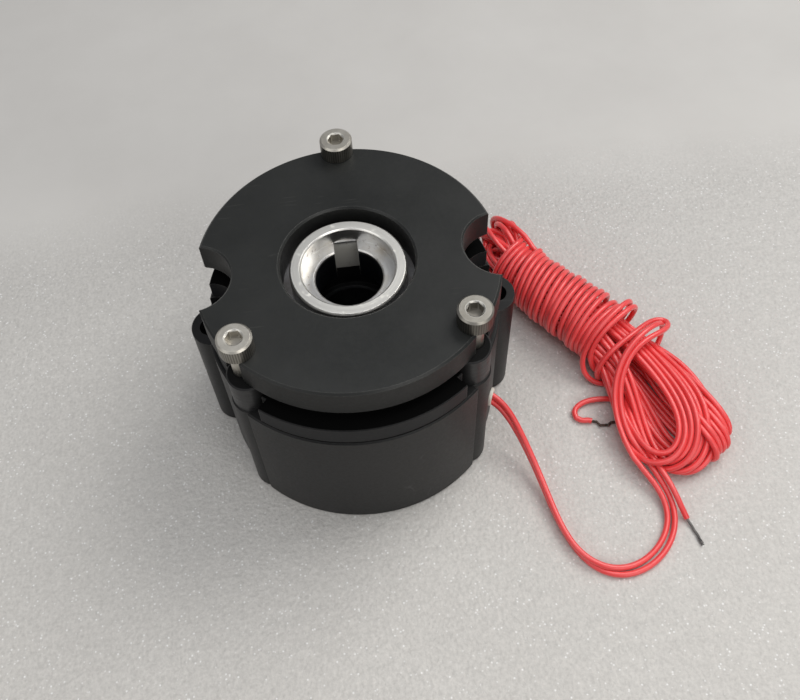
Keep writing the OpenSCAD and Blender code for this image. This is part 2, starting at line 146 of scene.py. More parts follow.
def wrap_point(turn, shift):
    """A point of the binding turns: turn counts turns from the right-hand side, over the top to the left."""
    a = 2 * math.pi * turn
    s = WRAP_S0 + (WRAP_S1 - WRAP_S0) * turn / N_TURNS
    half = np.interp(s, [4, 8, 14, 20, 30, 36], [6.2, 6.6, 7.3, 7.8, 8.3, 8.4])
    mid = np.interp(s, [4, 10, 20, 36], [47.6, 46.9, 46.7, 46.7])
    top = np.interp(s, [4, 8, 14, 30, 36], [11.0, 12.0, 12.8, 13.0, 12.4])
    zc, zh = (top + 0.72) / 2, (top - 0.72) / 2
    lean = np.interp(s, [q[0] for q in LEAN_AT], [q[1] for q in LEAN_AT])
    c, n = math.cos(a), math.sin(a)
    k = 0.86  # a little squarer than an ellipse
    x = math.copysign(abs(c) ** k, c)
    y = math.copysign(abs(n) ** k, n)
    wob = 0.30 * math.sin(3.1 * turn + 0.7) + 0.22 * math.sin(7.3 * turn)
    return W(s + shift - lean * c / 2 + 0.12 * math.sin(5.1 * turn), mid + (half + wob) * x, zc + (zh + (0.3 * wob if n > 0 else 0)) * y)


# After the last turn: lead a makes a loose loop beside the hank, lead b goes under.
A_LAST = [(66.9, 8.0, 9.8), (65.0, 6.7, 11.6), (61.6, 3.6, 12.9), (58.0, 0.8, 13.1), (55.2, -1.0, 12.2), (53.4, -2.1, 10.0), (52.4, -3.0, 7.5),
          (52.0, -3.8, 5.4), (51.9, -4.8, 3.6), (52.0, -6.0, 2.2), (52.6, -7.4, 1.2), (53.7, -8.8, 0.8), (55.8, -9.7, 0.75), (58.2, -9.6, 0.75),
          (61.0, -9.0, 0.75), (63.6, -9.6, 0.75), (64.9, -11.8, 0.75), (63.8, -14.0, 0.75), (61.2, -14.6, 0.8), (58.0, -13.6, 1.3)]
B_LAST = [(68.0, 6.6, 9.0), (66.0, 5.4, 11.0), (62.6, 2.6, 12.2), (59.4, 0.2, 12.4), (56.6, -1.4, 11.4), (55.1, -2.4, 9.4), (54.4, -3.2, 7.0),
          (54.3, -3.8, 5.0), (55.0, -4.8, 3.2), (56.6, -6.6, 2.0), (58.4, -9.0, 1.6), (59.6, -12.2, 2.0), (59.9, -16.0, 3.0)]
TAIL_A = [(55.6, -11.3, 1.5), (52.4, -11.5, 1.0), (49.5, -11.9, 0.8), (47.7, -13.4, 0.7), (47.7, -15.4, 0.7), (49.4, -16.6, 0.7), (51.7, -16.9, 0.7)]
TAIL_B = [(60.6, -18.1, 4.0), (60.0, -22.5, 3.7), (61.2, -26.3, 3.5), (63.0, -30.1, 3.4), (64.6, -34.0, 3.3), (65.4, -37.4, 3.0), (65.8, -40.5, 2.3), (66.7, -43.0, 0.8)]
BARE_A = [(51.7, -16.9, 0.7), (53.0, -17.4, 0.5), (54.3, -18.4, 0.4), (55.8, -18.3, 0.45), (57.4, -18.0, 0.7)]
BARE_B = [(66.7, -43.0, 0.8), (67.3, -44.7, 0.5), (68.0, -47.0, 0.4), (68.4, -49.1, 0.45)]


def through(points, step):
    """A smooth curve through the points, as points step apart (centripetal Catmull-Rom), and for each its place in the list."""
    p = np.array(points, float)
    p = np.vstack([2 * p[0] - p[1], p, 2 * p[-1] - p[-2]])
    out, where = [], []
    for i in range(1, len(p) - 2):
        a, b, c, d = p[i - 1:i + 3]
        t0 = 0.0
        t1 = t0 + max(np.linalg.norm(b - a), 1e-6) ** 0.5
        t2 = t1 + max(np.linalg.norm(c - b), 1e-6) ** 0.5
        t3 = t2 + max(np.linalg.norm(d - c), 1e-6) ** 0.5
        n = 12
        t = np.linspace(t1, t2, n, endpoint=False)[:, None]
        a1 = (t1 - t) / (t1 - t0) * a + (t - t0) / (t1 - t0) * b
        a2 = (t2 - t) / (t2 - t1) * b + (t - t1) / (t2 - t1) * c
        a3 = (t3 - t) / (t3 - t2) * c + (t - t2) / (t3 - t2) * d
        b1 = (t2 - t) / (t2 - t0) * a1 + (t - t0) / (t2 - t0) * a2
        b2 = (t3 - t) / (t3 - t1) * a2 + (t - t1) / (t3 - t1) * a3
        out.append((t2 - t) / (t2 - t1) * b1 + (t - t1) / (t2 - t1) * b2)
        where += list(i - 1 + np.arange(n) / n)
    out.append(p[-2:-1])
    where.append(len(p) - 3)
    q = np.vstack(out)
    run = np.r_[0, np.cumsum(np.linalg.norm(np.diff(q, axis=0), axis=1))]
    n = max(2, int(round(run[-1] / step)) + 1)
    at = np.linspace(0, run[-1], n)
    return np.stack([np.interp(at, run, q[:, k]) for k in range(3)], 1), np.interp(at, run, where)


def pair_sides(c, wanted, sure):
    """For the middle line of the pair, a smooth direction across it, level or upright where wanted says so."""
    t = np.gradient(c, axis=0)
    t /= np.linalg.norm(t, axis=1)[:, None]
    n = np.cross((0, 0, 1.0), t[0])
    n /= np.linalg.norm(n)
    base = []
    for ti in t:
        n = n - (n @ ti) * ti
        n /= np.linalg.norm(n)
        base.append(n.copy())
    base = np.array(base)
    other = np.cross(t, base)
    at, angle, last = [], [], 0.0
    for i in np.flatnonzero(sure):
        w = wanted[i] - (wanted[i] @ t[i]) * t[i]
        if np.linalg.norm(w) < 0.3:
            continue
        a = math.atan2(w @ other[i], w @ base[i])
        a += math.pi * round((last - a) / math.pi)
        last = a
        at.append(i)
        angle.append(a)
    a = np.interp(np.arange(len(c)), at, angle)
    k = np.hanning(17)
    a = np.convolve(np.pad(a, 8, mode="edge"), k / k.sum(), mode="valid")
    return np.cos(a)[:, None] * base + np.sin(a)[:, None] * other


def lead_guides():
    """Guide points and their weights for lead a and lead b."""
    mid = np.array([q[:3] for q in PAIR_ROUTE])
    t = np.array([mid[min(i + 1, len(mid) - 1)] - mid[max(i - 1, 0)] for i in range(len(mid))])
    t /= np.linalg.norm(t, axis=1)[:, None]
    side = np.cross((0, 0, 1.0), t)
    side /= np.linalg.norm(side, axis=1)[:, None]
    free = {}
    for name, sg in (("a", 1), ("b", -1)):
        g = np.array([q[3] for q in PAIR_ROUTE]) * sg
        w = np.radians([q[4] for q in PAIR_ROUTE])
        free[name] = mid + g[:, None] * (np.cos(w)[:, None] * side + np.sin(w)[:, None] * np.array((0, 0, 1.0)))
    # the pair through the core, the loops and the folds
    rng = np.random.default_rng(7)
    pts, kinds = [], []

    def add(q, kind):
        pts.append(q)
        kinds.append(kind)

    def core(place, out):
        """A run through the bound part; out is True towards the loops."""
        dx, dz = place
        rows = [W(3.0, 47.6 + 0.86 * dx, 6.3 + 0.86 * dz), W(12.0, 46.9 + dx, 6.6 + dz), W(22.0, 46.7 + 1.08 * dx, 6.7 + 1.03 * dz),
                W(31.5, 46.8 + 1.1 * dx, 6.5 + dz), L(22.5, 57.2 + 1.0 * dx, 5.7 + 0.88 * dz)]
        for q in rows if out else rows[::-1]:
            j = rng.normal(0, 0.25, 3)
            add((q[0] + j[0], q[1] + j[1], q[2] + j[2]), "core")

    def fold(tip, up):
        s, p, z, h, pu, pl = tip
        s += 3.4
        p0, p1 = (pl, pu) if up > 0 else (pu, pl)
        lean = 0.41 * h * up      # the fold's plane leans a little, upper run to the left
        add(W(s + 8.5, p0, z - 0.95 * h * up), "fold")
        add(W(s + 4.2, 0.3 * p0 + 0.7 * p + 0.8 * lean, z - h * up), "fold")
        add(W(s + 1.1, p + 0.75 * lean, z - 0.75 * h * up), "tip")
        add(W(s, p, z), "tip")
        add(W(s + 1.1, p - 0.75 * lean, z + 0.75 * h * up), "tip")
        add(W(s + 4.2, 0.3 * p1 + 0.7 * p - 0.8 * lean, z + h * up), "fold")
        add(W(s + 8.5, p1, z + 0.95 * h * up), "fold")

    core(CORE_L[0], False)
    for k, (mid_r, end, mid_l) in enumerate(LOOPS):
        up = 1 if CORE_R[k][1] >= CORE_L[k][1] else -1
        fold(TIPS[k], up)
        core(CORE_R[k], True)
        dx, dz = CORE_R[k]
        add(L(31.0, 0.45 * (57.0 + dx) + 0.55 * mid_r[0], 0.45 * (5.6 + dz) + 0.55 * mid_r[1]), "loop")
        add(L(40.5, *mid_r), "loop")
        for q in end:
            add(L(q[0] - 0.18 * max(0.0, q[0] - 44.0), q[1] - 0.5, q[2]), "loop")
        add(L(40.5, *mid_l), "loop")
        dx, dz = CORE_L[k + 1]
        add(L(31.0, 0.45 * (57.0 + dx) + 0.55 * mid_l[0], 0.45 * (5.6 + dz) + 0.55 * mid_l[1]), "loop")
        core(CORE_L[k + 1], False)
    add(W(-1.5, 46.2, 8.6), "fold")
    add(W(-4.4, 48.4, 9.2), "fold")
    add(W(-4.0, 51.4, 8.8), "fold")
    add(W(-0.6, 53.2, 7.8), "fold")
    c, where = through(pts, 0.5)
    kind_at = [kinds[min(int(v + 0.5), len(kinds) - 1)] for v in where]
    wraps_out = np.array((math.cos(math.radians(WRAP_DEG)), math.sin(math.radians(WRAP_DEG)), 0.0))
    tangent = np.gradient(c, axis=0)
    level = np.cross((0, 0, 1.0), tangent)
    level /= np.linalg.norm(level, axis=1)[:, None] + 1e-9
    folded = np.array([k == "tip" for k in kind_at])
    in_plane = np.cross(tangent, (-0.913 * wraps_out[1], 0.913 * wraps_out[0], 0.408))
    in_plane /= np.linalg.norm(in_plane, axis=1)[:, None] + 1e-9
    wanted = np.where(folded[:, None], in_plane, level)
    flat = np.abs(tangent[:, 2]) < 0.45 * np.linalg.norm(tangent, axis=1)
    sure = folded | (np.array([k == "loop" for k in kind_at]) & flat)
    n = pair_sides(c, wanted, sure)
    weight = np.array([{"core": 0.004, "fold": 0.012, "tip": 0.03, "loop": 0.05}[k] for k in kind_at])
    return free, c, n, weight


def build(lead):
    """Guide line of one lead: points and weights."""
    free, c, n, weight = lead_guides()
    sg = 1.0 if lead == "a" else -1.0
    start = through(list(free[lead]) + [placed(*q) for q in (A_OVER if lead == "a" else B_OVER)], 0.5)[0]
    ws = np.full(len(start), 0.35)
    mid = c + sg * 0.70 * n
    turns = np.array([wrap_point(t, -0.76 if lead == "a" else 0.76) for t in np.arange(0.02, N_TURNS - 0.04, 1 / 72)])
    wt = np.full(len(turns), 0.25)
    last = through([placed(*q) for q in (A_LAST if lead == "a" else B_LAST)] + (TAIL_A if lead == "a" else TAIL_B), 0.5)[0]
    wl = np.full(len(last), 0.35)
    line, w = [], []

    def join(a, wa, b, wb):
        """a, then a short smooth bridge, then b."""
        ta, tb = a[-1] - a[-4], b[3] - b[0]
        ta, tb = ta / np.linalg.norm(ta), tb / np.linalg.norm(tb)
        d = np.linalg.norm(b[0] - a[-1])
        u = np.linspace(0, 1, max(3, int(d / 0.5)))[1:-1, None]
        h = 1.0 * d
        mid_ = (2 * u**3 - 3 * u**2 + 1) * a[-1] + (u**3 - 2 * u**2 + u) * h * ta + (3 * u**2 - 2 * u**3) * b[0] + (u**3 - u**2) * h * tb
        return np.vstack([a, mid_, b]), np.r_[wa, np.full(len(mid_), 0.02), wb]

    line, w = join(start, ws, mid, weight)
    line, w = join(line, w, turns, wt)
    line, w = join(line, w, last, wl)
    run = np.r_[0, np.cumsum(np.linalg.norm(np.diff(line, axis=0), axis=1))]
    m = int(round(run[-1] / STEP)) + 1
    at = np.linspace(0, run[-1], m)
    return np.stack([np.interp(at, run, line[:, k]) for k in range(3)], 1), np.interp(at, run, w)


def settle(lines, weights, near, rounds=480, d=1.37):
    """Pushes the leads out of each other and down onto the table, keeping their length and a smooth bend."""
    x = np.vstack(lines)
    g = x.copy()
    w = np.concatenate(weights)[:, None]
    first = np.cumsum([0] + [len(q) for q in lines])
    which = np.concatenate([np.full(len(q), i) for i, q in enumerate(lines)])
    idx = np.arange(len(x))
    inside = {}
    for m in (2, 3, 4, 6):
        keep = np.ones(len(x), bool)
        for i in range(len(lines)):
            keep[first[i]:first[i] + m] = False
            keep[first[i + 1] - m:first[i + 1]] = False
        inside[m] = idx[keep]
    links = np.array([i for i in idx[:-1] if which[i] == which[i + 1]])
    rest = STEP * 0.975
    tight = 4.2       # no bend of a smaller radius, mm
    for r in range(rounds):
        late = r / rounds
        if r % 8 == 0:
            i, j = near(x, d + 1.2)
            far = (which[i] != which[j]) | (np.abs(i - j) > 5)
            pairs = (i[far], j[far])
        # shape: towards the guides, smooth, a little weight
        x += (g - x) * w * (1.0 if late < 0.5 else 0.4 if late < 0.85 else 0.1)
        x[:, 2] -= 0.004 * (w[:, 0] < 0.1)
        ii = inside[3]
        x[ii] += (0.02 if late < 0.8 else 0.006) * ((x[ii - 3] + x[ii + 3]) / 2 - x[ii])
        for m in (1, 2, 3):
            ii = inside[2 * m]
            x[ii] += 0.45 * ((x[ii - m] + x[ii + m]) * 2 / 3 - (x[ii - 2 * m] + x[ii + 2 * m]) / 6 - x[ii])
        ii = inside[3]
        for _ in range(2 if late < 0.6 else 4):
            sag = (x[ii - 3] + x[ii + 3]) / 2 - x[ii]
            size = np.sqrt((sag * sag).sum(1)) + 1e-9
            most = (3 * STEP) ** 2 / (2 * np.where(w[ii, 0] > 0.3, 2.6, tight))
            over = np.maximum(0.0, size - most) / size
            fix = np.zeros_like(x)
            fix[ii] = 0.38 * over[:, None] * sag
            for k in range(3):
                fix[:, k] -= np.bincount(ii - 3, 0.5 * fix[ii, k], len(x)) + np.bincount(ii + 3, 0.5 * fix[ii, k], len(x))
            x[2:-2] += 0.1 * (fix[:-4] + fix[4:]) + 0.2 * (fix[1:-3] + fix[3:-1]) + 0.4 * fix[2:-2]
        for start in (0, 1):
            e = links[start::2]
            v = x[e + 1] - x[e]
            dist = np.sqrt((v * v).sum(1)) + 1e-9
            c = (0.5 * (dist - rest) / dist)[:, None] * v * 0.7
            x[e] += c
            x[e + 1] -= c
        for _ in range(1 if late < 0.7 else 2):
            i, j = pairs
            v = x[i] - x[j]
            dist = np.sqrt((v * v).sum(1)) + 1e-9
            gap = d * min(1.0, 0.25 + 0.75 * late / 0.55) if late < 0.85 else d - 0.03
            hit = dist < gap
            i, j, v, dist = i[hit], j[hit], v[hit], dist[hit]
            push = (0.5 * (gap - dist) / dist)[:, None] * v
            move = np.stack([np.bincount(i, push[:, k], len(x)) - np.bincount(j, push[:, k], len(x)) for k in range(3)], 1)
            count = np.bincount(i, minlength=len(x)) + np.bincount(j, minlength=len(x))
            move /= np.maximum(1.0, count * 0.5)[:, None]
            size = np.sqrt((move * move).sum(1))[:, None]
            x += move * np.minimum(1.0, 0.25 / np.maximum(size, 1e-9))
            x[:, 2] = np.maximum(x[:, 2], D_LEAD / 2 + 0.02)
    return [x[first[i]:first[i + 1]] for i in range(len(lines))]


def neighbours(x, reach):
    """Pairs of particles closer than reach."""
    tree = kdtree.KDTree(len(x))
    for k, q in enumerate(x):
        tree.insert(q, k)
    tree.balance()
    i, j = [], []
    for k, q in enumerate(x):
        for _, other, _ in tree.find_range(q, reach):
            if other > k:
                i.append(k)
                j.append(other)
    return np.array(i, int), np.array(j, int)


def finer(p, n):
    """The same curve with n points where there was one."""
    q = np.vstack([2 * p[0] - p[1], p, 2 * p[-1] - p[-2]])
    out = []
    for k in range(n):
        u = k / n
        a, b, c, d = q[:-3], q[1:-2], q[2:-1], q[3:]
        out.append(0.5 * (2 * b + (c - a) * u + (2 * a - 5 * b + 4 * c - d) * u**2 + (3 * b - a - 3 * c + d) * u**3))
    return np.vstack([np.stack(out, 1).reshape(-1, 3), p[-1:]])


def curve_of(name, points, radius, sides=4):
    """A round tube round one open spline; points in metres."""
    data = bpy.data.curves.new(name, "CURVE")
    data.dimensions = "3D"
    spline = data.splines.new("POLY")
    spline.points.add(len(points) - 1)
    flat = np.ones((len(points), 4), np.float32)
    flat[:, :3] = points
    spline.points.foreach_set("co", flat.ravel())
    spline.use_smooth = True
    # the points carry the tube's radius and the bevel is one, because a curve's box grows by its points' radius
    spline.points.foreach_set("radius", np.full(len(points), radius, np.float32))
    data.bevel_depth = 1.0
    data.bevel_resolution = sides
    data.use_fill_caps = True
    obj = bpy.data.objects.new(name, data)
    bpy.context.scene.collection.objects.link(obj)
    return obj


def tube_mesh(lines, radii, sides):
    """Vertices and faces of capped round tubes along each line of points."""
    verts, faces = [], []
    for line, radius in zip(lines, radii):
        line = np.asarray(line, float)
        radius = np.broadcast_to(radius, len(line))
        t = np.gradient(line, axis=0)
        t /= np.linalg.norm(t, axis=1)[:, None]
        n = np.cross(t[0], (0.3, 0.5, 0.8))
        n /= np.linalg.norm(n)
        base = len(verts)
        for k, (q, ti) in enumerate(zip(line, t)):
            n = n - (n @ ti) * ti
            n /= np.linalg.norm(n)
            b = np.cross(ti, n)
            for a in range(sides):
                w = 2 * math.pi * a / sides
                verts.append(tuple(q + radius[k] * (math.cos(w) * n + math.sin(w) * b)))
        for k in range(len(line) - 1):
            for a in range(sides):
                a2 = (a + 1) % sides
                faces.append((base + k * sides + a, base + k * sides + a2, base + (k + 1) * sides + a2, base + (k + 1) * sides + a))
        faces.append(tuple(base + a for a in reversed(range(sides))))
        faces.append(tuple(base + (len(line) - 1) * sides + a for a in range(sides)))
    return verts, faces


def mesh_object(name, verts, faces, smooth=True):
    data = bpy.data.meshes.new(name)
    data.from_pydata(verts, [], faces)
    data.validate()
    data.polygons.foreach_set("use_smooth", [smooth and len(f.vertices) == 4 for f in data.polygons])
    data.update()
    obj = bpy.data.objects.new(name, data)
    bpy.context.scene.collection.objects.link(obj)
    return obj


def strands(name, route, start_back, twist_pitch=4.2, spread=0.20, wire=0.108, kinks=0.0, seed=1, frayed=0.0):
    """Seven twisted strands along the route, which starts a little inside the insulation; mm in, metres out."""
    rng = np.random.default_rng(seed)
    c = finer(through(route, 0.35)[0], 2)
    back = c[0] - c[1]
    back /= np.linalg.norm(back)
    c = np.vstack([c[0] + back * start_back, c])
    if kinks:
        n = len(c)
        wob = np.zeros((n, 3))
        for amp, per in ((kinks, 2.1), (kinks * 0.6, 1.15)):
            ph = rng.uniform(0, 6.28, 3)
            run = np.r_[0, np.cumsum(np.linalg.norm(np.diff(c, axis=0), axis=1))]
            wob += amp * np.sin(run[:, None] * 2 * math.pi / per + ph) * np.clip(run[:, None] / 1.5, 0, 1)
        wob[:, 2] = np.abs(wob[:, 2]) * 0.7
        c = c + wob
    c[:, 2] = np.maximum(c[:, 2], spread + wire + 0.01)
    t = np.gradient(c, axis=0)
    t /= np.linalg.norm(t, axis=1)[:, None]
    run = np.r_[0, np.cumsum(np.linalg.norm(np.diff(c, axis=0), axis=1))]
    n = np.cross(t[0], (0, 0, 1.0))
    frame_n = []
    for ti in t:
        n = n - (n @ ti) * ti
        n /= np.linalg.norm(n)
        frame_n.append(n.copy())
    frame_n = np.array(frame_n)
    frame_b = np.cross(t, frame_n)
    lines = [c]
    end = run[-1]
    for s in range(6):
        a = 2 * math.pi * (s / 6 + run / twist_pitch)
        open_up = spread * (1 + frayed * np.clip((run - end + 1.6) / 1.6, 0, 1) ** 2 * rng.uniform(0.3, 1.2))
        line = c + open_up[:, None] * (np.cos(a)[:, None] * frame_n + np.sin(a)[:, None] * frame_b)
        cut = len(line) - int(rng.integers(0, 3))
        line = line[:cut]
        line[:, 2] = np.maximum(line[:, 2], wire + 0.005)
        lines.append(line)
    verts, faces = tube_mesh([q * MM for q in lines], [wire * MM] * 7, 6)
    return mesh_object(name, verts, faces)


# ---------------------------------------------------------------- the leads are made
lines, weights = [], []
for lead in "ab":
    q, w = build(lead)
    lines.append(q)
    weights.append(w)
lines = settle(lines, weights, neighbours, rounds=800)

leads = {}
for lead, line in zip("ab", lines):
    leads[lead] = finer(line, 2) * MM

bare_a = [tuple(lines[0][-1])] + list(BARE_A[1:])
bare_b = [tuple(lines[1][-1])] + list(BARE_B[1:])
conductor_a = strands("conductor_a_strands", bare_a, 1.2, kinks=0.16, seed=3, frayed=0.8)
conductor_b = strands("conductor_b_strands", bare_b, 1.2, kinks=0.02, seed=5, frayed=0.5)

lead_a = curve_of("lead_a_wire", leads["a"], D_LEAD / 2 * MM)
lead_b = curve_of("lead_b_wire", leads["b"], D_LEAD / 2 * MM)
for piece in (lead_a, lead_b):
    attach(piece, "housing")
for piece in (conductor_a, conductor_b):
    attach(piece, "housing")
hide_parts("lead_a", "lead_a_tail", "lead_hank")
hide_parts("lead_b", "lead_b_tail")
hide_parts("conductor_a")
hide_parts("conductor_b")

# ---------------------------------------------------------------- the springs, six coils from the seat up to the armature's underside
SPRING_SEAT = 0.0254
spring_top = float(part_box("armature_plate")[0][2])
springs = []
for k in range(6):
    turn = math.radians(60 * k)
    low, high, loops = SPRING_SEAT + 0.00032, spring_top - 0.00032, 7
    line = []
    for j in range(loops * 24 + 1):
        f = j / (loops * 24)
        rise = max(0.0, min(1.0, (f - 0.1) / 0.8))
        b = 2 * math.pi * loops * f
        x, y = 0.015 + 0.00188 * math.cos(b), 0.00188 * math.sin(b)
        line.append((x * math.cos(turn) - y * math.sin(turn), x * math.sin(turn) + y * math.cos(turn), low + (high - low) * rise))
    spring = mesh_object("brake_spring_%d_wire" % (k + 1), *tube_mesh([np.array(line)], [0.0003], 10))
    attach(spring, "housing")
    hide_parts("brake_spring_%d" % (k + 1))
    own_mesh(spring)
    springs.append(spring)

# ---------------------------------------------------------------- materials
class Mat:
    """Builds one procedural material."""

    def __init__(self, name, color, metallic=0.0, roughness=0.5, specular=0.5, coat=0.0, coat_rough=0.1, ior=1.5):
        self.m = bpy.data.materials.new(name)
        self.m.use_nodes = True
        self.t = self.m.node_tree
        self.bsdf = self.t.nodes["Principled BSDF"]
        self.set(Metallic=metallic, Roughness=roughness, IOR=ior)
        self.bsdf.inputs["Base Color"].default_value = (*color, 1)
        self.bsdf.inputs["Specular IOR Level"].default_value = specular
        self.bsdf.inputs["Coat Weight"].default_value = coat
        self.bsdf.inputs["Coat Roughness"].default_value = coat_rough
        self.m.diffuse_color = (*color, 1)
        self.place = self.t.nodes.new("ShaderNodeNewGeometry").outputs["Position"]
        self.true_normal = self.place.node.outputs["Normal"]
        self.where = None
        self.local = self.t.nodes.new("ShaderNodeTexCoord").outputs["Object"]

    def set(self, **kw):
        for k, v in kw.items():
            self.bsdf.inputs[k.replace("_", " ")].default_value = v

    def link(self, a, b):
        self.t.links.new(a, b)
        return b

    def node(self, kind, **props):
        n = self.t.nodes.new(kind)
        for k, v in props.items():
            setattr(n, k, v)
        return n

    def noise(self, scale, detail=3.0, rough=0.55, distortion=0.0, stretch=None, vector=None):
        n = self.node("ShaderNodeTexNoise")
        n.inputs["Scale"].default_value = scale
        n.inputs["Detail"].default_value = detail
        n.inputs["Roughness"].default_value = rough
        n.inputs["Distortion"].default_value = distortion
        v = vector or self.local
        if stretch:
            mp = self.node("ShaderNodeMapping")
            mp.inputs["Scale"].default_value = stretch
            self.link(v, mp.inputs["Vector"])
            v = mp.outputs["Vector"]
        self.link(v, n.inputs["Vector"])
        return n.outputs["Fac"]

    def voronoi(self, scale, feature="F1", vector=None, randomness=1.0, stretch=None):
        n = self.node("ShaderNodeTexVoronoi", feature=feature)
        n.inputs["Scale"].default_value = scale
        n.inputs["Randomness"].default_value = randomness
        v = vector or self.local
        if stretch:
            mp = self.node("ShaderNodeMapping")
            mp.inputs["Scale"].default_value = stretch
            self.link(v, mp.inputs["Vector"])
            v = mp.outputs["Vector"]
        self.link(v, n.inputs["Vector"])
        return n

    def ramp(self, value, stops):
        n = self.node("ShaderNodeValToRGB")
        e = n.color_ramp.elements
        while len(e) > 1:
            e.remove(e[-1])
        e[0].position, e[0].color = stops[0][0], self.rgba(stops[0][1])
        for p, c in stops[1:]:
            k = e.new(p)
            k.color = self.rgba(c)
        self.link(value, n.inputs["Fac"])
        return n.outputs["Color"]

    @staticmethod
    def rgba(c):
        return (c, c, c, 1) if isinstance(c, (int, float)) else (*c, 1)

    def map(self, value, a, b, c, d, clamp=True):
        n = self.node("ShaderNodeMapRange", clamp=clamp)
        self.link(value, n.inputs["Value"])
        for k, v in (("From Min", a), ("From Max", b), ("To Min", c), ("To Max", d)):
            n.inputs[k].default_value = v
        return n.outputs["Result"]

    def math(self, op, a, b=None, clamp=False):
        n = self.node("ShaderNodeMath", operation=op, use_clamp=clamp)
        for k, v in enumerate((a, b)):
            if v is None:
                continue
            if isinstance(v, (int, float)):
                n.inputs[k].default_value = v
            else:
                self.link(v, n.inputs[k])
        return n.outputs[0]

    def mix(self, fac, a, b, blend="MIX"):
        n = self.node("ShaderNodeMix", data_type="RGBA", blend_type=blend)
        if isinstance(fac, (int, float)):
            n.inputs[0].default_value = fac
        else:
            self.link(fac, n.inputs[0])
        for k, v in ((6, a), (7, b)):
            if isinstance(v, tuple):
                n.inputs[k].default_value = self.rgba(v) if len(v) == 3 else v
            elif isinstance(v, (int, float)):
                n.inputs[k].default_value = self.rgba(v)
            else:
                self.link(v, n.inputs[k])
        return n.outputs[2]

    def color(self, out):
        self.link(out, self.bsdf.inputs["Base Color"])

    def rough(self, out):
        self.link(out, self.bsdf.inputs["Roughness"])

    def bump(self, heights, rounded=0.0):
        """heights: list of (output, strength, distance in metres); rounded: radius of softened edges in metres."""
        normal = None
        if rounded:
            b = self.node("ShaderNodeBevel", samples=4)
            b.inputs["Radius"].default_value = rounded
            normal = b.outputs["Normal"]
        for out, strength, dist in heights:
            n = self.node("ShaderNodeBump")
            n.inputs["Strength"].default_value = strength
            n.inputs["Distance"].default_value = dist
            self.link(out, n.inputs["Height"])
            if normal is not None:
                self.link(normal, n.inputs["Normal"])
            normal = n.outputs["Normal"]
        if normal is not None:
            self.link(normal, self.bsdf.inputs["Normal"])

    def edges(self, radius, low=0.03, high=0.35):
        """1 close to sharp edges, 0 on open faces."""
        b = self.node("ShaderNodeBevel", samples=4)
        b.inputs["Radius"].default_value = radius
        d = self.node("ShaderNodeVectorMath", operation="DOT_PRODUCT")
        self.link(b.outputs["Normal"], d.inputs[0])
        self.link(self.true_normal, d.inputs[1])
        return self.map(d.outputs["Value"], 1.0 - low, 1.0 - high, 0.0, 1.0)

    def polar(self, center=(0.0, 0.0)):
        """Distance from the axis and angle about it."""
        s = self.node("ShaderNodeSeparateXYZ")
        self.link(self.local, s.inputs[0])
        x = self.math("SUBTRACT", s.outputs[0], center[0])
        y = self.math("SUBTRACT", s.outputs[1], center[1])
        r = self.math("SQRT", self.math("ADD", self.math("MULTIPLY", x, x), self.math("MULTIPLY", y, y)))
        a = self.math("ARCTAN2", y, x)
        return r, a, s.outputs[2]

    def rings(self, center=(0.0, 0.0), fine=9000.0):
        """Turned rings about an axis: streaks that follow the tool round and down."""
        r, a, z = self.polar(center)
        c = self.node("ShaderNodeCombineXYZ")
        self.link(self.math("MULTIPLY", r, fine), c.inputs[0])
        self.link(self.math("MULTIPLY", a, 0.35), c.inputs[1])
        self.link(self.math("MULTIPLY", z, fine), c.inputs[2])
        return self.noise(1.0, 2.0, 0.6, vector=c.outputs[0])


def scratches(m, scale, density, angle, width=0.012):
    """Sparse, fine, straight scratches in one direction."""
    mp = m.node("ShaderNodeMapping")
    mp.inputs["Rotation"].default_value = (0, 0, math.radians(angle))
    mp.inputs["Scale"].default_value = (scale * 0.06, scale, scale * 0.4)
    m.link(m.local, mp.inputs["Vector"])
    n = m.noise(1.0, 2.0, 0.5, 0.15, vector=mp.outputs["Vector"])
    line = m.math("ABSOLUTE", m.math("SUBTRACT", n, 0.5))
    thin = m.map(line, 0.0, width, 1.0, 0.0)
    gate = m.map(m.noise(scale * 0.35, 2.0), 1 - density, 1 - density + 0.06, 0.0, 1.0)
    return m.math("MULTIPLY", thin, gate)


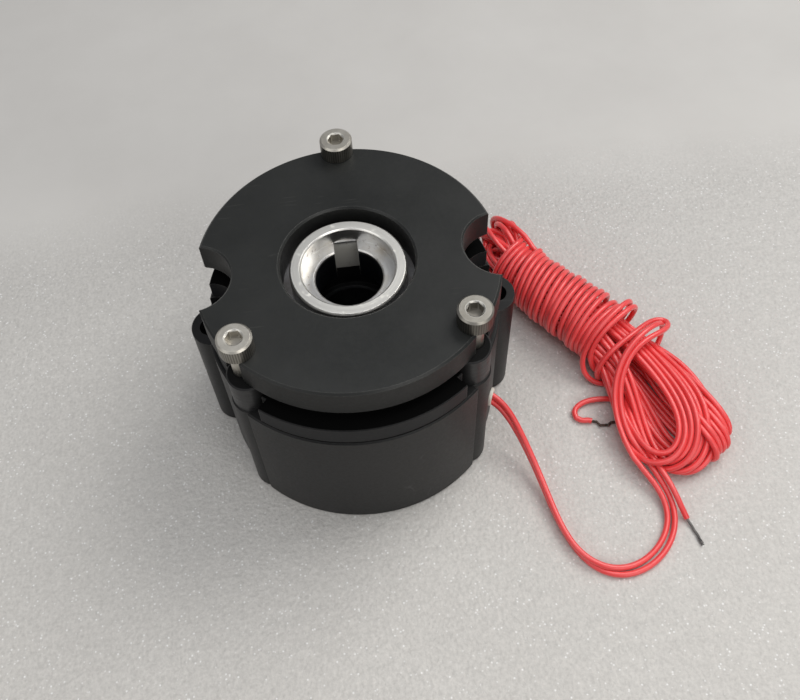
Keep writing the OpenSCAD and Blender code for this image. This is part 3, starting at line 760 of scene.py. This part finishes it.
def black_plate_material():
    m = Mat("black_plate_mat", (0.016, 0.017, 0.0165), roughness=0.36, specular=0.36)
    cloud = m.noise(38, 5, 0.6)
    fine = m.noise(1400, 3, 0.7)
    specks = m.map(m.voronoi(900).outputs["Distance"], 0.0, 0.10, 1.0, 0.0)
    gate = m.map(m.noise(260, 2), 0.60, 0.66, 0.0, 1.0)
    specks = m.math("MULTIPLY", specks, gate)
    s1 = scratches(m, 260, 0.40, 24)
    s2 = scratches(m, 210, 0.36, -58)
    scr = m.math("MAXIMUM", s1, s2)
    edge = m.edges(0.00028)
    chip = m.map(m.noise(1100, 4, 0.7), 0.35, 0.62, 0.25, 1.0)
    edge = m.math("MULTIPLY", edge, chip)
    c = m.mix(m.map(cloud, 0.3, 0.7, 0.0, 1.0), (0.0125, 0.0135, 0.013), (0.0195, 0.0205, 0.0195))
    c = m.mix(m.math("MULTIPLY", specks, 0.35), c, (0.10, 0.10, 0.095))
    c = m.mix(m.math("MULTIPLY", scr, 0.30), c, (0.075, 0.075, 0.07))
    # painted shade: the plate's side faces are coloured darker than its top and made rougher
    up = m.node("ShaderNodeSeparateXYZ")
    m.link(m.true_normal, up.inputs[0])
    side = m.map(m.math("ABSOLUTE", up.outputs[2]), 0.25, 0.6, 1.0, 0.0)
    c = m.mix(m.math("MULTIPLY", side, 0.6), c, (0.005, 0.005, 0.005))
    c = m.mix(m.math("MULTIPLY", edge, 0.55), c, (0.33, 0.325, 0.30))
    m.color(c)
    r = m.map(cloud, 0.25, 0.75, 0.31, 0.43)
    r = m.math("ADD", r, m.map(fine, 0.3, 0.7, -0.03, 0.05))
    m.rough(m.math("ADD", r, m.math("MULTIPLY", side, 0.14)))
    m.bump([(fine, 0.12, 0.00004), (scr, 0.25, 0.00002)], rounded=0.00012)
    return m.m


def black_body_material():
    m = Mat("black_body_mat", (0.012, 0.0125, 0.0125), roughness=0.36, specular=0.21)
    cloud = m.noise(30, 4, 0.6, stretch=(1, 1, 0.5))
    fine = m.noise(1600, 3, 0.7)
    draw = m.noise(1.0, 3, 0.6, stretch=(90, 90, 1400))
    scuff = scratches(m, 230, 0.36, 10)
    edge = m.edges(0.0003)
    chip = m.map(m.noise(900, 4, 0.7), 0.42, 0.66, 0.1, 1.0)
    edge = m.math("MULTIPLY", edge, chip)
    c = m.mix(m.map(cloud, 0.3, 0.7, 0.0, 1.0), (0.0095, 0.0095, 0.010), (0.0155, 0.0155, 0.0155))
    c = m.mix(m.math("MULTIPLY", scuff, 0.3), c, (0.10, 0.10, 0.10))
    c = m.mix(m.math("MULTIPLY", edge, 0.55), c, (0.22, 0.215, 0.20))
    m.color(c)
    m.rough(m.math("ADD", m.map(cloud, 0.25, 0.75, 0.33, 0.44), m.map(fine, 0.3, 0.7, -0.03, 0.06)))
    m.bump([(draw, 0.05, 0.00003), (fine, 0.22, 0.00004)], rounded=0.0002)
    return m.m


def black_post_material():
    m = Mat("black_post_mat", (0.03, 0.03, 0.032), roughness=0.34, specular=0.32)
    fine = m.noise(1200, 3, 0.7)
    turn_marks = m.noise(1.0, 2, 0.5, stretch=(120, 120, 5200))
    edge = m.edges(0.00025)
    facing = m.node("ShaderNodeSeparateXYZ")
    m.link(m.true_normal, facing.inputs[0])
    place = m.node("ShaderNodeSeparateXYZ")
    m.link(m.local, place.inputs[0])
    # painted shade: upward faces and the front posts' inward-facing sides are coloured almost black and made rough,
    # standing in for the shadow under the plate
    top = m.map(facing.outputs[2], 0.6, 0.95, 0.0, 1.0)
    inward_painted_shade = m.math("MULTIPLY", m.map(m.math("MULTIPLY", facing.outputs[0], m.math("SIGN", place.outputs[0])), -0.45, -0.05, 1.0, 0.0), m.map(place.outputs[1], -0.005, 0.0, 1.0, 0.0))
    shade = m.math("MAXIMUM", top, inward_painted_shade)
    c = m.mix(m.map(fine, 0.3, 0.7, 0, 1), (0.016, 0.016, 0.017), (0.026, 0.026, 0.027))
    c = m.mix(m.math("MULTIPLY", edge, 0.35), c, (0.20, 0.19, 0.175))
    m.color(m.mix(shade, c, (0.002, 0.002, 0.002)))
    m.rough(m.mix(shade, m.map(turn_marks, 0.3, 0.7, 0.26, 0.46), (0.92, 0.92, 0.92)))
    m.bump([(turn_marks, 0.2, 0.00003), (fine, 0.1, 0.00002)], rounded=0.0002)
    return m.m


def armature_material():
    m = Mat("armature_mat", (0.04, 0.04, 0.044), metallic=0.08, roughness=0.40, specular=0.07)
    cloud = m.noise(60, 5, 0.65)
    grain = m.noise(1500, 3, 0.7)
    mark = m.noise(1.0, 2, 0.5, stretch=(70, 70, 2600))
    edge = m.edges(0.0003)
    c = m.mix(m.map(cloud, 0.3, 0.7, 0, 1), (0.017, 0.0175, 0.0185), (0.027, 0.027, 0.0285))
    c = m.mix(m.map(grain, 0.55, 0.75, 0, 0.4), c, (0.045, 0.044, 0.042))
    c = m.mix(m.math("MULTIPLY", edge, 0.5), c, (0.30, 0.29, 0.27))
    # painted shade: the armature's upward faces, which lie in the shadow under the plate, are coloured almost black,
    # non-metallic and rough
    up = m.node("ShaderNodeSeparateXYZ")
    m.link(m.true_normal, up.inputs[0])
    flat = m.map(up.outputs[2], 0.6, 0.95, 0.0, 1.0)
    c = m.mix(flat, c, (0.002, 0.002, 0.002))
    m.link(m.map(flat, 0.0, 1.0, 0.08, 0.0), m.bsdf.inputs["Metallic"])
    m.color(c)
    m.rough(m.mix(flat, m.map(cloud, 0.3, 0.7, 0.33, 0.5), (0.92, 0.92, 0.92)))
    m.bump([(mark, 0.12, 0.00003), (grain, 0.18, 0.00003)], rounded=0.0002)
    return m.m


def carrier_material():
    m = Mat("carrier_mat", (0.3, 0.3, 0.31), metallic=0.9, roughness=0.45)
    ring = m.rings(fine=7000)
    stain = m.noise(110, 5, 0.65)
    c = m.mix(m.map(stain, 0.42, 0.7, 0, 1), (0.33, 0.33, 0.34), (0.15, 0.12, 0.10))
    m.color(c)
    m.rough(m.map(ring, 0.3, 0.7, 0.35, 0.55))
    m.bump([(ring, 0.15, 0.00003)], rounded=0.0001)
    return m.m


def lining_material():
    m = Mat("lining_mat", (0.055, 0.05, 0.045), roughness=0.85, specular=0.3)
    v = m.voronoi(1500)
    grain = m.noise(900, 4, 0.7)
    fibre = m.noise(1.0, 3, 0.7, stretch=(300, 1600, 900))
    c = m.mix(m.map(grain, 0.3, 0.7, 0, 1), (0.035, 0.032, 0.029), (0.075, 0.068, 0.06))
    c = m.mix(m.map(v.outputs["Distance"], 0.0, 0.14, 0.55, 0.0), c, (0.42, 0.30, 0.16))
    c = m.mix(m.map(fibre, 0.66, 0.72, 0, 0.5), c, (0.30, 0.29, 0.26))
    m.color(c)
    m.rough(m.map(grain, 0.3, 0.7, 0.72, 0.95))
    m.bump([(grain, 0.5, 0.00006)])
    return m.m


def hub_material():
    m = Mat("hub_mat", (0.66, 0.65, 0.63), metallic=1.0, roughness=0.34)
    r, a, z = m.polar()
    ring = m.rings(fine=6200)
    coarse = m.rings(fine=1700)
    stain = m.noise(230, 5, 0.7)
    spots = m.math("MULTIPLY", m.map(m.noise(760, 3, 0.6), 0.60, 0.67, 0, 1), m.map(stain, 0.42, 0.60, 0, 1))
    face = m.map(z, 0.0476, 0.0483, 0.0, 1.0)
    low = m.math("SUBTRACT", 1.0, face)
    # painted shade: the bore below the face is coloured blue-black, standing in for the shadow inside it
    bore_painted_shade = m.math("MULTIPLY", m.map(r, 0.00708, 0.00725, 1.0, 0.0), m.map(z, 0.0436, 0.0445, 1.0, 0.0))
    c = m.mix(m.map(coarse, 0.3, 0.7, 0, 1), (0.66, 0.655, 0.64), (0.72, 0.715, 0.70))
    c = m.mix(face, c, (0.97, 0.955, 0.90))
    c = m.mix(m.math("MULTIPLY", m.map(stain, 0.48, 0.72, 0, 0.5), low), c, (0.46, 0.39, 0.29))
    c = m.mix(m.math("MULTIPLY", spots, m.map(face, 0.0, 1.0, 0.9, 0.12)), c, (0.12, 0.065, 0.03))
    c = m.mix(m.math("MULTIPLY", bore_painted_shade, 0.93), c, (0.035, 0.042, 0.062))
    key = m.math("MULTIPLY", m.map(r, 0.00728, 0.0076, 0.0, 1.0), m.map(z, 0.0436, 0.0445, 1.0, 0.0))
    c = m.mix(m.math("MULTIPLY", key, 0.85), c, (0.42, 0.41, 0.375))
    m.link(m.map(key, 0.0, 1.0, 1.0, 0.15), m.bsdf.inputs["Metallic"])
    edge = m.edges(0.00022)
    c = m.mix(m.math("MULTIPLY", edge, 0.6), c, (0.92, 0.92, 0.90))
    m.color(c)
    m.rough(m.math("ADD", m.math("ADD", m.map(ring, 0.3, 0.7, 0.30, 0.40), m.math("MULTIPLY", spots, 0.35)), m.math("MULTIPLY", key, 0.28)))
    m.bump([(coarse, 0.04, 0.00003), (ring, 0.07, 0.00002)], rounded=0.00015)
    return m.m


def screw_material(name, center, painted_light_factor):
    m = Mat(name, (0.56, 0.54, 0.50), metallic=1.0, roughness=0.27)
    r, a, z = m.polar(center)
    ring = m.rings(center, fine=6500)
    grain = m.noise(1300, 4, 0.65)
    stain = m.noise(420, 4, 0.6)
    # painted light: the head's colour is scaled by a factor of its own, lighter or darker as that head is lit
    c = m.mix(m.map(stain, 0.35, 0.7, 0, 1), tuple(painted_light_factor * v for v in (0.57, 0.545, 0.49)), tuple(painted_light_factor * v for v in (0.47, 0.445, 0.39)))
    # painted reflection: the head's side is coloured nearly black, standing in for the dark plate it mirrors, in
    # stripes round the head
    up = m.node("ShaderNodeSeparateXYZ")
    m.link(m.true_normal, up.inputs[0])
    side = m.math("MULTIPLY", m.map(m.math("ABSOLUTE", up.outputs[2]), 0.3, 0.7, 1.0, 0.0), m.map(r, 0.0029, 0.0031, 0.0, 1.0))
    side_shade_stripes = m.map(m.math("SINE", m.math("MULTIPLY", a, 44.0)), -0.4, 0.4, 0.55, 0.8)
    c = m.mix(m.math("MULTIPLY", side, side_shade_stripes), c, (0.055, 0.052, 0.045))
    # painted shade: the inside of the hex socket is coloured dark
    inside = m.math("MULTIPLY", m.map(r, 0.00165, 0.00185, 1.0, 0.0), m.map(z, 0.0524, 0.0543, 1.0, 0.0))
    c = m.mix(m.math("MULTIPLY", inside, 0.35), c, (0.12, 0.11, 0.10))
    # painted highlight: a bright ring round the socket's mouth
    socket_rim_highlight = m.math("MULTIPLY", m.map(r, 0.00160, 0.00172, 0.0, 1.0), m.map(r, 0.00188, 0.00202, 1.0, 0.0))
    c = m.mix(m.math("MULTIPLY", socket_rim_highlight, 0.5), c, (0.88, 0.87, 0.82))
    m.color(c)
    m.rough(m.map(grain, 0.3, 0.7, 0.37, 0.43))
    m.bump([(ring, 0.03, 0.00002)], rounded=0.00008)
    return m.m


def spring_material():
    m = Mat("spring_mat", (0.5, 0.5, 0.52), metallic=1.0, roughness=0.3)
    g = m.noise(1500, 3, 0.6)
    m.color(m.mix(m.map(g, 0.3, 0.7, 0, 1), (0.42, 0.42, 0.44), (0.58, 0.58, 0.60)))
    m.rough(m.map(g, 0.3, 0.7, 0.22, 0.4))
    m.bump([(g, 0.2, 0.00002)])
    return m.m


def simple_material(name, dark, light, lo, hi, scale, metallic=0.0, bump=0.2):
    m = Mat(name, light, metallic=metallic)
    g = m.noise(scale, 4, 0.65)
    h = m.noise(scale * 7, 3, 0.6)
    m.color(m.mix(m.map(g, 0.3, 0.7, 0, 1), dark, light))
    m.rough(m.map(h, 0.3, 0.7, lo, hi))
    m.bump([(h, bump, 0.00003)], rounded=0.0001)
    return m.m


def copper_material():
    m = Mat("copper_wire_mat", (0.72, 0.38, 0.2), metallic=1.0, roughness=0.3, coat=0.5, coat_rough=0.15)
    r, a, z = m.polar()
    w = m.node("ShaderNodeTexWave", wave_type="BANDS", bands_direction="Z")
    w.inputs["Scale"].default_value = 900
    m.link(m.local, w.inputs["Vector"])
    g = m.noise(600, 3)
    m.color(m.mix(m.map(g, 0.3, 0.7, 0, 1), (0.60, 0.28, 0.13), (0.78, 0.42, 0.22)))
    m.rough(m.map(g, 0.3, 0.7, 0.22, 0.4))
    m.bump([(w.outputs["Fac"], 0.6, 0.0001)])
    return m.m


def lead_material():
    m = Mat("lead_red_mat", (0.90, 0.04, 0.04), roughness=0.38, specular=1.0, coat=0.4, coat_rough=0.32)
    m.bsdf.inputs["Subsurface Weight"].default_value = 0.25
    m.bsdf.inputs["Subsurface Radius"].default_value = (1.0, 0.18, 0.12)
    m.bsdf.inputs["Subsurface Scale"].default_value = 0.0012
    m.bsdf.inputs["Sheen Weight"].default_value = 0.30
    m.bsdf.inputs["Sheen Roughness"].default_value = 0.55
    m.bsdf.inputs["Sheen Tint"].default_value = (1.0, 0.72, 0.70, 1)
    long_ = m.noise(70, 4, 0.6)
    fine = m.noise(1900, 3, 0.65)
    dust = m.map(m.noise(700, 4, 0.7), 0.62, 0.74, 0, 1)
    c = m.mix(m.map(long_, 0.3, 0.7, 0, 1), (0.84, 0.016, 0.020), (0.93, 0.040, 0.042))
    c = m.mix(m.math("MULTIPLY", dust, 0.15), c, (0.85, 0.35, 0.30))
    m.color(c)
    m.rough(m.math("ADD", m.map(long_, 0.3, 0.7, 0.36, 0.47), m.map(fine, 0.3, 0.7, -0.03, 0.05)))
    m.bump([(m.noise(420, 3, 0.6), 0.16, 0.00005), (fine, 0.12, 0.00002)])
    return m.m


def conductor_material(name, dark, light):
    m = Mat(name, light, metallic=0.9, roughness=0.42)
    g = m.noise(520, 4, 0.65)
    m.color(m.mix(m.map(g, 0.35, 0.65, 0, 1), dark, light))
    m.rough(m.map(g, 0.3, 0.7, 0.35, 0.55))
    m.bump([(m.noise(2500, 3, 0.6), 0.2, 0.00001)])
    return m.m


def give(names, mat):
    for n in names if isinstance(names, (list, tuple)) else [names]:
        o = nodes[n]
        if not o.material_slots:
            o.data.materials.append(mat)
        for s in o.material_slots:
            s.material = mat


give("end_plate", black_plate_material())
give("magnet_body", black_body_material())
post = black_post_material()
give(["spacer_back", "spacer_left", "spacer_right"], post)
give("armature_plate", armature_material())
give("friction_carrier", carrier_material())
give(["lining_upper", "lining_lower"], lining_material())
give("hub", hub_material())
# painted light: the last number is each head's brightness factor, 0.66 making the right-hand head darker as if in shade
for name, far, deg, painted_light_factor in (("back", 0.030, 89.0, 1.1), ("left", 0.029, 218.5, 1.2), ("right", 0.029, 321.5, 0.66)):
    a = math.radians(deg)
    give("cap_screw_" + name, screw_material("screw_%s_mat" % name, (far * math.cos(a), far * math.sin(a)), painted_light_factor))
steel = spring_material()
for spring in springs:
    spring.data.materials.append(steel)
give("coil_bobbin", simple_material("bobbin_mat", (0.035, 0.035, 0.04), (0.06, 0.06, 0.065), 0.45, 0.6, 300))
give("coil_winding", copper_material())
give("coil_tape", simple_material("coil_tape_mat", (0.66, 0.55, 0.20), (0.82, 0.72, 0.32), 0.25, 0.4, 260))
give("coil_potting", simple_material("potting_mat", (0.02, 0.02, 0.024), (0.04, 0.04, 0.045), 0.4, 0.7, 240, bump=0.4))
give("lead_bushing", simple_material("bushing_mat", (0.62, 0.58, 0.50), (0.82, 0.79, 0.72), 0.4, 0.6, 700))
red = lead_material()
lead_a.data.materials.append(red)
lead_b.data.materials.append(red)
conductor_a.data.materials.append(conductor_material("conductor_a_mat", (0.045, 0.035, 0.028), (0.16, 0.13, 0.11)))
conductor_b.data.materials.append(conductor_material("conductor_b_mat", (0.10, 0.10, 0.10), (0.30, 0.29, 0.28)))


# ---------------------------------------------------------------- floor and light
floor_data = bpy.data.meshes.new("floor")
n, half = 60, 1.6
ys = [(-half + 2 * half * j / n) for j in range(n + 1)]
verts = []
for j, y in enumerate(ys):
    for i in range(2):
        verts.append(((-half, half)[i], y, 0.0))
faces = [(2 * j, 2 * j + 1, 2 * j + 3, 2 * j + 2) for j in range(n)]
floor_data.from_pydata(verts, [], faces)
floor_data.update()
floor = bpy.data.objects.new("floor", floor_data)
bpy.context.scene.collection.objects.link(floor)

m = Mat("floor_mat", (0.56, 0.55, 0.53), roughness=0.62, specular=0.35)
sep = m.node("ShaderNodeSeparateXYZ")
m.link(m.local, sep.inputs[0])
near_part = m.map(m.math("ADD", sep.outputs[1], m.map(m.noise(9, 2), 0.3, 0.7, -0.006, 0.006)), 0.050, 0.072, 1.0, 0.0)
cells = m.voronoi(1050)
grain = m.noise(1250, 4, 0.66)
clump = m.noise(430, 3, 0.6)
blotch = m.noise(26, 4, 0.6)
shade = m.mix(m.map(blotch, 0.3, 0.7, 0, 1), (0.645, 0.625, 0.598), (0.690, 0.671, 0.643))
shade = m.mix(m.math("MULTIPLY", m.map(m.math("ADD", m.math("MULTIPLY", grain, 0.7), m.math("MULTIPLY", clump, 0.3)), 0.38, 0.62, 0.0, 1.0), m.math("MULTIPLY", near_part, 0.6)), shade, (0.47, 0.458, 0.438))
glint = m.math("MULTIPLY", m.map(m.voronoi(880).outputs["Distance"], 0.0, 0.26, 1.0, 0.0), m.map(m.noise(330, 2), 0.47, 0.51, 0.0, 1.0))
glint = m.math("MULTIPLY", glint, near_part)
shade = m.mix(m.math("MULTIPLY", glint, 0.95), shade, (1.0, 1.0, 1.0))
# painted light: the floor's colour is lighter towards the front and darker towards the back, as the light falls off
painted_light_falloff = m.map(sep.outputs[1], -0.07, 0.09, 1.0, 0.0)
shade = m.mix(1.0, shade, m.mix(painted_light_falloff, (0.835, 0.84, 0.845), (1.03, 1.025, 1.015)), blend="MULTIPLY")
m.color(shade)
m.rough(m.map(m.math("MULTIPLY", grain, near_part), 0.2, 0.7, 0.60, 0.36))
m.bump([(m.math("MULTIPLY", grain, near_part), 0.5, 0.0004), (m.math("MULTIPLY", cells.outputs["Distance"], near_part), 0.3, 0.0004)])
floor.data.materials.append(m.m)

world = bpy.data.worlds.new("studio")
bpy.context.scene.world = world
world.use_nodes = True
bg = world.node_tree.nodes["Background"]
bg.inputs["Color"].default_value = (0.95, 0.96, 1.0, 1)
bg.inputs["Strength"].default_value = 0.275


def area(name, loc, aim, size, power, color=(1, 1, 1), size_y=None):
    d = bpy.data.lights.new(name, "AREA")
    d.energy = power
    d.color = color
    d.size = size
    if size_y:
        d.shape = "RECTANGLE"
        d.size_y = size_y
    o = bpy.data.objects.new(name, d)
    bpy.context.scene.collection.objects.link(o)
    o.location = loc
    o.rotation_euler = (Vector(aim) - Vector(loc)).to_track_quat("-Z", "Y").to_euler()
    return o


area("light_top_right", (0.41, 0.23, 0.56), (0.03, 0.0, 0.02), 0.44, 2.65, (1.0, 0.98, 0.945), 0.38)
area("light_top", (0.02, -0.02, 0.80), (0.02, -0.02, 0.0), 0.60, 1.6, (0.96, 0.98, 1.0), 0.5)
area("light_front", (0.36, -0.62, 0.50), (0.03, -0.03, 0.02), 0.50, 1.45, (1.0, 0.98, 0.94), 0.4)
area("light_left", (-0.55, -0.30, 0.50), (-0.03, -0.02, 0.0), 0.50, 0.75, (1.0, 0.99, 0.97), 0.4)

bpy.context.scene.view_settings.view_transform = "Standard"
bpy.context.scene.view_settings.look = "None"
bpy.context.scene.view_settings.exposure = 0.0
bpy.context.scene.view_settings.gamma = 1.0
